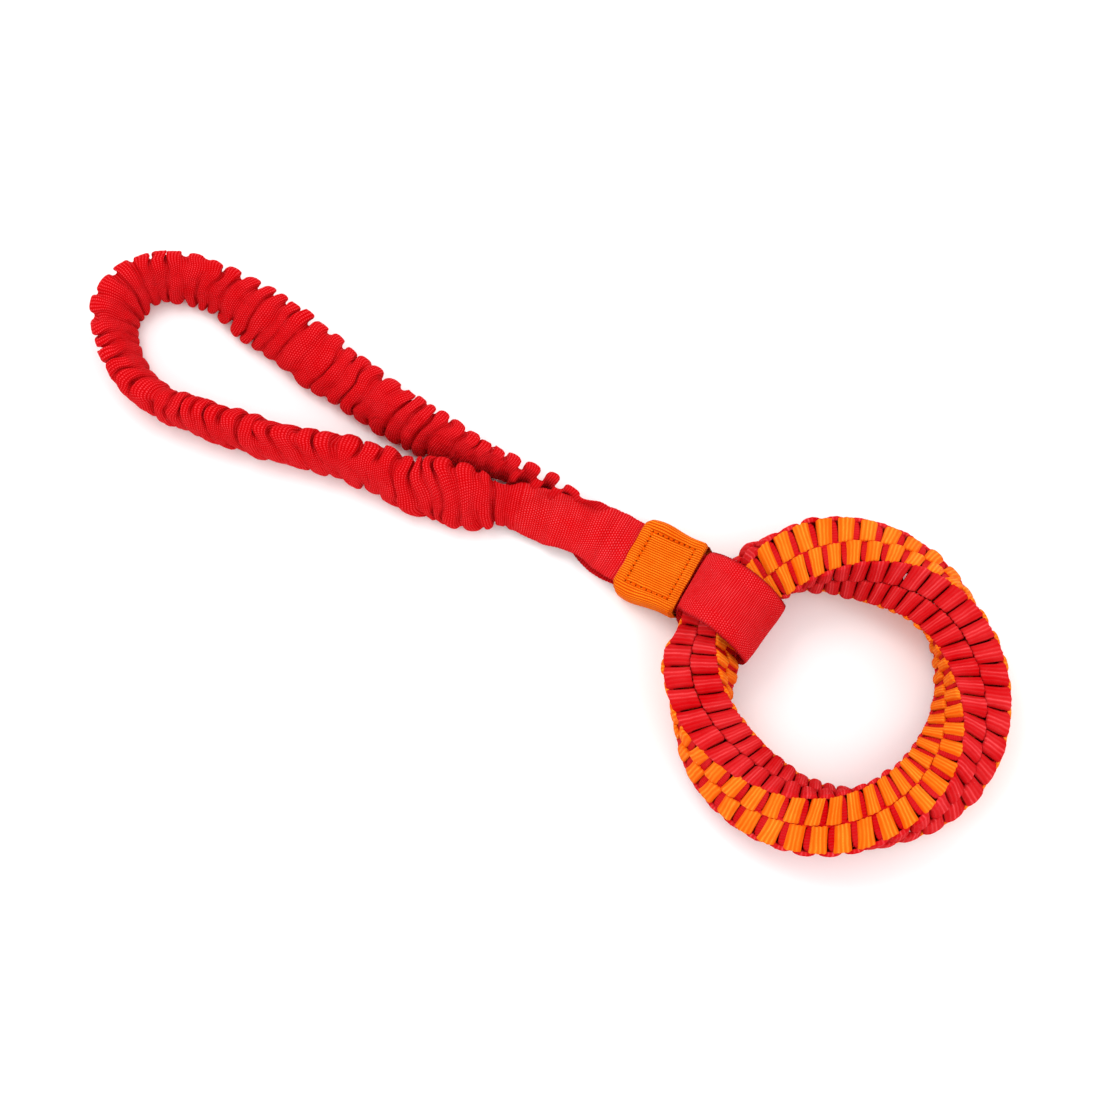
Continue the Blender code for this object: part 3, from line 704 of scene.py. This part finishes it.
# --------------------------------------------- hand loop: leads and gathered sleeve
# Middle line of the whole strap, from the keeper round the loop and back:
# x, y, z, half width, half thickness, roll in degrees, gathering, slant of the gathers,
# zigzag of the whole strap.
# Roll turns the strap's first selvage from the loop's outer side (0) up (90) and over to its inner side (180).
k_in = lambda x, z: tuple(keeper_place((x, -0.2, z)))
LAY = SLING_T + 0.1 + 0.2 + 1.0
STRAP = [
    (*k_in(12.0, -LAY), 14.2, 1.0, 0, 0, 0, 0),
    (*k_in(0.0, -LAY), 14.2, 1.0, 0, 0, 0, 0),
    (*k_in(-10.0, -LAY), 14.2, 1.0, 0, 0, 0, 0),
    (-105.0, 11.2, 1.6, 14.2, 1.0, 0, 0, 0, 0),
    (-112.0, 11.6, 1.5, 14.1, 1.0, 2, 0, 0, 0),
    (-120.0, 12.8, 2.8, 13.2, 1.1, 10, 0, 0, 0),
    (-128.0, 14.8, 5.6, 11.4, 1.3, 30, 0, 0, 0),
    (-135.0, 16.8, 7.6, 9.6, 1.7, 54, 0.1, 0, 0.3),
    (-140.0, 17.6, 8.8, 8.9, 2.5, 68, 0.5, 0, 1.8),
    (-146.0, 17.9, 9.2, 8.8, 3.3, 74, 0.9, 0, 3.2),
    (-154.0, 17.9, 10.0, 9.4, 3.6, 80, 1.0, 1, 3.0),
    (-165.0, 17.6, 10.6, 9.9, 4.1, 80, 1.0, 1, 1.6),
    (-180.0, 16.7, 11.2, 10.4, 4.9, 74, 1.0, 2, 0.5),
    (-198.0, 16.0, 11.4, 11.0, 5.9, 60, 1.0, 2.5, 0),
    (-219.0, 16.4, 10.8, 11.5, 6.4, 44, 1.0, 2.5, 0),
    (-240.0, 18.5, 9.8, 11.4, 6.4, 34, 1.0, 2.5, 0),
    (-262.0, 21.2, 9.8, 13.0, 6.6, 28, 1.0, 2.5, 0),
    (-284.0, 25.4, 9.8, 12.6, 6.4, 28, 1.0, 2, 0),
    (-300.0, 27.1, 10.0, 12.4, 6.3, 32, 1.0, 1, 0),
    (-316.0, 28.6, 10.2, 10.4, 5.9, 40, 1.0, 0.5, 0),
    (-332.0, 26.0, 10.4, 11.2, 6.0, 44, 1.0, 0, 0),
    (-344.5, 18.6, 10.8, 11.5, 6.0, 48, 1.0, 0, 0),
    (-351.0, 6.5, 11.2, 12.3, 6.0, 48, 1.0, 0, 0),
    (-349.5, -5.5, 11.5, 12.1, 6.0, 52, 1.0, 0, 0),
    (-340.6, -16.0, 11.8, 11.8, 6.1, 60, 1.0, 0, 0),
    (-328.0, -24.9, 11.8, 11.4, 6.6, 70, 1.0, 1, 0),
    (-313.0, -28.4, 11.6, 10.6, 6.6, 84, 1.0, 2, 0),
    (-299.0, -27.1, 11.4, 10.4, 6.7, 92, 1.0, 3, 0),
    (-285.0, -25.0, 11.4, 10.4, 6.8, 96, 1.0, 3.5, 0),
    (-267.0, -21.6, 11.4, 10.4, 7.0, 98, 1.0, 4, 0),
    (-249.0, -17.7, 11.4, 10.5, 7.1, 101, 1.0, 4, 0),
    (-232.0, -12.2, 11.4, 10.9, 7.6, 108, 1.0, 4, 0),
    (-214.0, -9.6, 11.6, 11.6, 7.9, 116, 1.0, 4, 0),
    (-199.3, -8.4, 12.2, 12.2, 7.9, 122, 1.0, 4, 0),
    (-187.3, -4.6, 12.4, 13.6, 8.2, 128, 1.0, 4, 0),
    (-176.0, -2.4, 12.2, 13.9, 8.0, 132, 1.0, 3.5, 0),
    (-168.5, -0.4, 11.6, 12.8, 5.6, 135, 1.0, 2, 0.6),
    (-162.0, 2.3, 11.2, 9.2, 3.0, 138, 0.55, 1, 1.2),
    (-155.3, 4.1, 11.6, 10.8, 1.8, 141, 0.1, 0, 0),
    (-148.6, 6.1, 10.2, 11.6, 1.3, 146, 0, 0, 0),
    (-143.0, 8.0, 9.5, 11.8, 1.2, 151, 0, 0, 0),
    (-136.0, 8.6, 10.6, 12.0, 1.2, 158, 0, 0, 0),
    (-127.3, 10.4, 9.2, 11.9, 1.1, 167, 0, 0, 0),
    (-119.0, 11.6, 8.0, 12.9, 1.0, 176, 0, 0, 0),
    (-110.0, 11.6, 7.0, 14.0, 1.0, 180, 0, 0, 0),
    (*k_in(-12.0, LAY), 14.2, 1.0, 180, 0, 0, 0),
    (*k_in(0.0, LAY), 14.2, 1.0, 180, 0, 0, 0),
    (*k_in(12.0, LAY), 14.2, 1.0, 180, 0, 0, 0),
]
FOLD = 7.5  # mean pitch of the gathers
RPF, COLS = 18, 88


def at_s(s, F, q):
    return np.stack([np.interp(q, s, F[:, k]) for k in range(F.shape[1])], -1)


def strap_rows():
    s, F = spline(STRAP, None, dims=3)
    total = s[-1]
    # some gathers are fat and some thin
    pitches = []
    while sum(pitches) < total + 10:
        far = float(at_s(s, F, np.array([sum(pitches)]))[0, 8])
        pitches.append(FOLD * (1 + 0.32 * float(rnd(len(pitches), 77))) * (1 + 0.12 * far))
    edges = np.concatenate([[0], np.cumsum(pitches)])
    nrow = int(np.interp(total, edges, np.arange(len(edges))) * RPF)
    ph = np.arange(nrow + 1) / RPF
    s0 = np.interp(ph, np.arange(len(edges)), edges)
    # smooth out the jumps in pitch
    ker = np.hanning(RPF + 1)
    ker /= ker.sum()
    pad = RPF // 2
    ext = np.concatenate([s0[0] - (s0[pad:0:-1] - s0[0]), s0, s0[-1] + (s0[-1] - s0[-2 : -pad - 2 : -1])])
    s0 = np.convolve(ext, ker, "valid")
    return s, F, ph, np.clip(s0, 0, total), total


def strap():
    s, F, ph, s0, total = strap_rows()
    n = len(ph)
    th = 2 * math.pi * np.arange(COLS) / COLS
    zero = np.zeros((n, COLS))
    phi = 2 * math.pi * ph[:, None] + zero
    S0 = s0[:, None] + zero
    base = at_s(s, F, s0)
    g = np.clip(base[:, 6], 0, 1)[:, None]
    q = (np.gradient(s0) * RPF / (2 * math.pi))[:, None]
    ct, sn = np.cos(th)[None, :] + zero, np.sin(th)[None, :] + zero
    around = lambda k, r=1.1: np.stack([S0 / k, r * ct, r * sn], -1)
    per_fold = lambda idx, seed, r: noise(np.stack([idx * 7.31, r * ct + idx * 1.7, r * sn], -1), seed)
    edge = np.abs(ct) ** 2.2
    # crease k lies between crests k and k + 1: deep at the selvages, fading on some of the faces
    k0 = np.floor(ph)[:, None] + zero
    f = (ph[:, None] - np.floor(ph)[:, None]) + zero
    deep = lambda k: np.clip(0.62 + 0.42 * edge + 0.85 * per_fold(k, 31, 0.9), 0.10, 1.25)
    here = deep(k0)
    D = np.where(f < 0.3, deep(k0 - 1) * (1 - smoothstep(-0.3, 0.3, f)) + here * smoothstep(-0.3, 0.3, f), here)
    D = np.where(f > 0.7, here * (1 - smoothstep(0.7, 1.3, f)) + deep(k0 + 1) * smoothstep(0.7, 1.3, f), D)
    high = lambda k: 0.85 * per_fold(k, 43, 1.2)
    H = high(k0) * (1 - smoothstep(0.3, 0.7, f)) + high(k0 + 1) * smoothstep(0.3, 0.7, f)
    zig = base[:, 8][:, None]
    upper = smoothstep(-0.2, 0.8, ct)
    calm = np.clip(1 - 0.30 * zig, 0.12, 1)
    vary = 0.98 + 0.50 * noise(np.stack([S0 / 26.0, ct * 0.7, sn * 0.7], -1), 37)
    amp = (1.22 + (0.72 + 0.30 * upper) * edge) * calm * np.clip(vary, 0.65, 1.35)
    beta = 0.20 + (0.18 + 0.16 * upper) * edge
    gamma = 0.68
    c = 1 - np.cos(phi)
    h = g * (amp * (0.75 - D * c * (1 - 0.10 * (1 - np.cos(2 * phi)))) + H * calm)
    # along the upper side many gathers split in two
    split = upper * smoothstep(-0.25, 0.35, noise(np.stack([S0 / 21.0, ct * 0.8, sn * 0.8], -1), 35))
    h = h - g * calm * split * 0.60 * np.exp(-(((np.cos(phi) - 1) / 0.20) ** 2)) * (0.4 + 0.6 * np.abs(ct))
    # no crease is deeper than the strap is thick there
    room = 0.62 * base[:, 4][:, None] + 0.35 * base[:, 3][:, None] * np.abs(ct) ** 3
    h = np.where(h < 0, -room * np.tanh(-h / room), h)
    # creases wander and lean, and each crest may lean over its neighbour
    wander = 2.2 * noise(around(17.0, 0.9), 21) + 1.15 * noise(around(7.0), 22)
    bow = 1.6 * np.abs(sn) ** 1.5 * np.sign(sn) * noise(np.stack([s0 / 60.0, 0 * s0], -1), 24)[:, None]
    lean = 1.35 * noise(around(11.0, 1.3), 25) * (1 + np.cos(phi)) / 2 * (0.4 + 0.6 * edge)
    skew = -base[:, 7][:, None] * ct
    ds = g * (q * D * (beta * np.sin(2 * phi) + gamma * np.sin(phi)) + (wander + bow + lean) * calm + skew)
    ds = ds + np.clip(zig / 3.0, 0, 1) * q * 0.55 * np.sin(2 * phi)
    Q = np.clip(S0 + ds, 0, total)
    B = at_s(s, F, Q)
    T = (at_s(s, F, np.clip(Q + 1.5, 0, total)) - at_s(s, F, np.clip(Q - 1.5, 0, total)))[..., :3]
    T /= np.linalg.norm(T, axis=-1)[..., None]
    out = np.stack([T[..., 1], -T[..., 0], 0 * T[..., 0]], -1)  # to the loop's outer side
    out /= np.linalg.norm(out, axis=-1)[..., None]
    upv = np.cross(T, out)
    upv *= np.sign(upv[..., 2])[..., None]
    roll = np.radians(B[..., 5])
    E = out * np.cos(roll)[..., None] + upv * np.sin(roll)[..., None]
    Nn = np.cross(T, E)
    gq = np.clip(B[..., 6], 0, 1)
    flat = 1 - gq
    # section: an oval where gathered, a flat tube where not
    a, b = B[..., 3], B[..., 4]
    ce = np.sign(ct) * np.abs(ct) ** (1.0 - 0.40 * flat)
    se = np.sign(sn) * np.abs(sn) ** (0.88 - 0.38 * flat)
    px, py = a * ce, b * se
    nx, ny = ce / np.maximum(a, 1), se / np.maximum(b, 1)
    nl = np.hypot(nx, ny) + 1e-9
    nx, ny = nx / nl, ny / nl
    # small wrinkles run across the folds' faces
    fine = 0.22 * noise(np.stack([phi * 0.75, th[None, :] * 4.5 + zero, zero], -1), 71)
    wr = noise(np.stack([S0 / 2.6 + 1.2 * sn, ct * 2.0, sn * 2.0], -1), 73)
    fine = fine - 0.34 * np.exp(-((wr / 0.16) ** 2)) * (1 - edge)
    px = px + (h + gq * fine) * nx
    py = py + (h + gq * fine) * ny + zig * np.cos(phi)
    # loose flat stretches ripple, and their selvages wave
    rip = flat * smoothstep(24, 40, S0) * smoothstep(24, 40, total - S0)
    py = py + rip * 1.9 * noise(np.stack([S0 / 7.5, ct * 0.9, zero], -1), 61) * (0.45 + np.abs(ct))
    py = py + rip * 0.55 * np.sin(2 * math.pi * S0 / 9.5 + 2.2 * noise(np.stack([S0 / 16.0, ct, zero], -1), 67))
    px = px + rip * 0.75 * noise(np.stack([S0 / 9.0, np.sign(ct) * 3.0, zero], -1), 66)
    # cut edge of the weave
    px = px + flat * 0.10 * np.sign(ct) * smoothstep(0.93, 1.0, np.abs(ct)) * np.cos(2 * math.pi * S0 / 1.4)
    G = B[..., :3] + E * px[..., None] + Nn * py[..., None]
    low = G[..., 2] < 0.6
    G[..., 2] = np.where(low, 0.2 + 0.4 * np.exp((np.minimum(G[..., 2], 0.6) - 0.6) / 1.2), G[..., 2])
    # the weave follows the cloth: real distance along it, evened out over each gather
    # so that the ribs stay in line with the creases
    step = np.linalg.norm(np.diff(G, axis=0), axis=-1)
    run = np.concatenate([np.zeros((1, COLS)), np.cumsum(step, axis=0)])
    mean = run.mean(1)
    V = np.zeros((n, COLS))
    cuts = sorted(set([0, n - 1] + [int(round((k + 0.5) * RPF)) for k in range(n // RPF)]))
    for lo, hi in zip(cuts[:-1], cuts[1:]):
        part = (run[lo : hi + 1] - run[lo]) / (run[hi] - run[lo])
        V[lo : hi + 1] = mean[lo] + part * (mean[hi] - mean[lo])
    V = np.concatenate([V, V[:, :1]], 1)
    ring = np.linalg.norm(np.roll(G, -1, axis=1) - G, axis=-1)
    share = np.concatenate([np.zeros((n, 1)), np.cumsum(ring, axis=1)], 1)
    even = np.arange(COLS + 1)[None, :] / COLS
    U = 60.0 * (0.6 * share / share[:, -1:] + 0.4 * even)
    Z = np.zeros((n, COLS + 1))
    # split past the stretch that bends with the fold
    past = base[:, 0] < -154.0
    i1 = int(np.argmax(past))
    i2 = n - 1 - int(np.argmax(past[::-1]))
    return G, U, V, Z, i1, i2, (s, F, total)


G, U, V, Z, I1, I2, LINE = strap()


def part_of_strap(name, a, b, mat):
    return grid_mesh(name, G[a : b + 1], U[a : b + 1], V[a : b + 1], mat, Z=Z[a : b + 1], ends=False)


# the back lead and the sleeve take the painted-shade copy, the front lead the lit copy
lead_b = part_of_strap("lead_back_webbing", 0, I1, mat_loop_shaded)
lead_f = part_of_strap("lead_front_webbing", I2, len(G) - 1, mat_loop_lit)
loop = part_of_strap("hand_loop_sleeve", I1, I2, mat_loop_shaded)
for ob, node in ((lead_b, "lead_back"), (lead_f, "lead_front")):
    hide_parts(node)
    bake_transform(ob)
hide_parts("sleeve_back_leg", "sleeve_front_leg", "sleeve_bend")
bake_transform(loop)


def core():
    s, F, total = LINE
    ok = (F[:, 6] > 0.97) & (F[:, 8] < 1.0) & (F[:, 4] > 4.6)
    q = np.linspace(s[ok][0], s[ok][-1], 160)
    B = at_s(s, F, q)[:, :3]
    T = np.gradient(B, axis=0)
    T /= np.linalg.norm(T, axis=1)[:, None]
    side = np.stack([T[:, 1], -T[:, 0], 0 * T[:, 0]], 1)
    side /= np.linalg.norm(side, axis=1)[:, None]
    upv = np.cross(T, side)
    th = 2 * math.pi * np.arange(16) / 16
    Gc = B[:, None, :] + 2.2 * (side[:, None, :] * np.cos(th)[None, :, None] + upv[:, None, :] * np.sin(th)[None, :, None])
    Uc = np.tile(np.append(th, 2 * math.pi) * 2.2, (len(q), 1))
    Vc = np.tile(q[:, None], (1, 17))
    return grid_mesh("elastic_cord", Gc, Uc, Vc, mat_elastic)


el = core()
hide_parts("elastic_back_leg", "elastic_front_leg", "elastic_bend")
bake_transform(el)

# ------------------------------------------------------- floor, light and camera
floor_mesh = bpy.data.meshes.new("floor")
r = 6.0
floor_mesh.from_pydata([(-r, -r, 0), (r, -r, 0), (r, r, 0), (-r, r, 0)], [], [(0, 1, 2, 3)])
floor = bpy.data.objects.new("floor", floor_mesh)
bpy.context.scene.collection.objects.link(floor)
fm = bpy.data.materials.new("floor")
fm.use_nodes = True
fm.node_tree.nodes["Principled BSDF"].inputs["Base Color"].default_value = (0.97, 0.97, 0.97, 1)
fm.node_tree.nodes["Principled BSDF"].inputs["Roughness"].default_value = 0.9
fm.node_tree.nodes["Principled BSDF"].inputs["Specular IOR Level"].default_value = 0.1
floor_mesh.materials.append(fm)

world = bpy.data.worlds.new("studio")
bpy.context.scene.world = world
world.use_nodes = True
world.node_tree.nodes["Background"].inputs[0].default_value = (1, 1, 1, 1)
world.node_tree.nodes["Background"].inputs[1].default_value = 1.16

AZ, EL, DIST = math.radians(29.0), math.radians(75.0), 1.114
TARGET = Vector((8.98, -2.255, 0.0)) * MM
right = Vector((math.cos(AZ), math.sin(AZ), 0))
back = Vector((math.sin(AZ) * math.cos(EL), -math.cos(AZ) * math.cos(EL), math.sin(EL)))
up = back.cross(right)


def area(name, pos, size, power, target=(0, 0, 0)):
    light = bpy.data.lights.new(name, "AREA")
    light.shape = "SQUARE"
    light.size = size
    light.energy = power
    ob = bpy.data.objects.new(name, light)
    ob.location = pos
    ob.rotation_euler = (Vector(target) - Vector(pos)).to_track_quat("-Z", "Y").to_euler()
    bpy.context.scene.collection.objects.link(ob)


area("key", tuple(-right * 0.75 + up * 0.85 + Vector((0, 0, 1.5))), 0.9, 11.0)
area("fill", tuple(right * 1.0 - up * 0.6 + Vector((0, 0, 1.3))), 1.2, 4.0)

cam_data = bpy.data.cameras.new("camera")
cam_data.lens = 85
cam_data.sensor_width = 36
cam = bpy.data.objects.new("camera", cam_data)
cam.matrix_world = Matrix(((right.x, up.x, back.x, 0), (right.y, up.y, back.y, 0), (right.z, up.z, back.z, 0), (0, 0, 0, 1)))
cam.location = TARGET + back * DIST
bpy.context.scene.collection.objects.link(cam)
bpy.context.scene.camera = cam
bpy.context.scene.view_settings.view_transform = "Standard"
